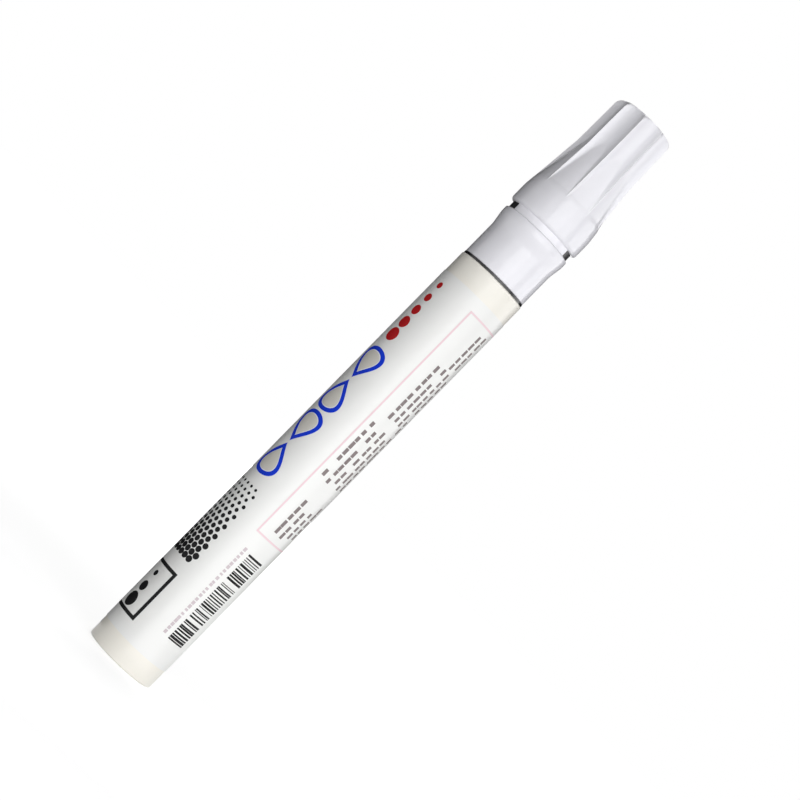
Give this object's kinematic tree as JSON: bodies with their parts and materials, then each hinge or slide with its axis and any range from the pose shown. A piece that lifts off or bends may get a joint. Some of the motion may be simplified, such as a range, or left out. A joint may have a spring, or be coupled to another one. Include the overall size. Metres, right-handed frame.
{
  "type": "paint marker",
  "caption": "Round paint marker with a fluted pull-off cap, a wrapped label, a spring-closed valve behind a bullet nib and a loose mixing ball in its barrel.",
  "frame": {"origin": "centre of the flat tail that the marker stands on", "axes": "+Z along the marker's axis, from the tail to the end of the cap; -Y is the side that the picture shows, +X its right-hand side with the cap up"},
  "size_m": [0.0162, 0.0162, 0.1395],
  "materials": {
    "barrel": "warm white lacquer over drawn aluminium",
    "label": "printed film, semi-gloss",
    "ball_steel": "polished",
    "collar_plastic": "black moulded plastic",
    "seal_rubber": "black rubber",
    "valve_plastic": "natural moulded plastic",
    "spring_steel": "drawn stainless wire",
    "nose_plastic": "white moulded plastic",
    "nib_fibre": "pressed acrylic fibre",
    "liner_plastic": "black moulded plastic, satin",
    "cap_plastic": "cool white glossy plastic"
  },
  "bodies": {
    "marker_body": {"barrel": "barrel", "label_film": "label", "front_collar": "collar_plastic", "collar_seal": "seal_rubber", "valve_seat": "seal_rubber", "valve_cage": "valve_plastic", "valve_spring": "spring_steel", "nose_cone": "nose_plastic"},
    "cap": {"cap_shell": "cap_plastic", "inner_cap": "liner_plastic"},
    "nib_and_stem": {"nib": "nib_fibre", "valve_stem": "valve_plastic"},
    "ball": {"mixing_ball": "ball_steel"}
  },
  "joints": [
    {"name": "cap_pull", "type": "slide", "parent": "marker_body", "child": "cap", "axis": [0, 0, 1], "range_m": [0, 0.045]},
    {"name": "nib_press", "type": "slide", "parent": "marker_body", "child": "nib_and_stem", "axis": [0, 0, -1], "range_m": [0, 0.0015], "stiffness_N_per_m": 600, "springref_m": -0.0025, "deforming": ["valve_spring"]},
    {"name": "ball_run", "type": "slide", "parent": "marker_body", "child": "ball", "axis": [0, 0, 1], "range_m": [0, 0.069]}
  ]
}
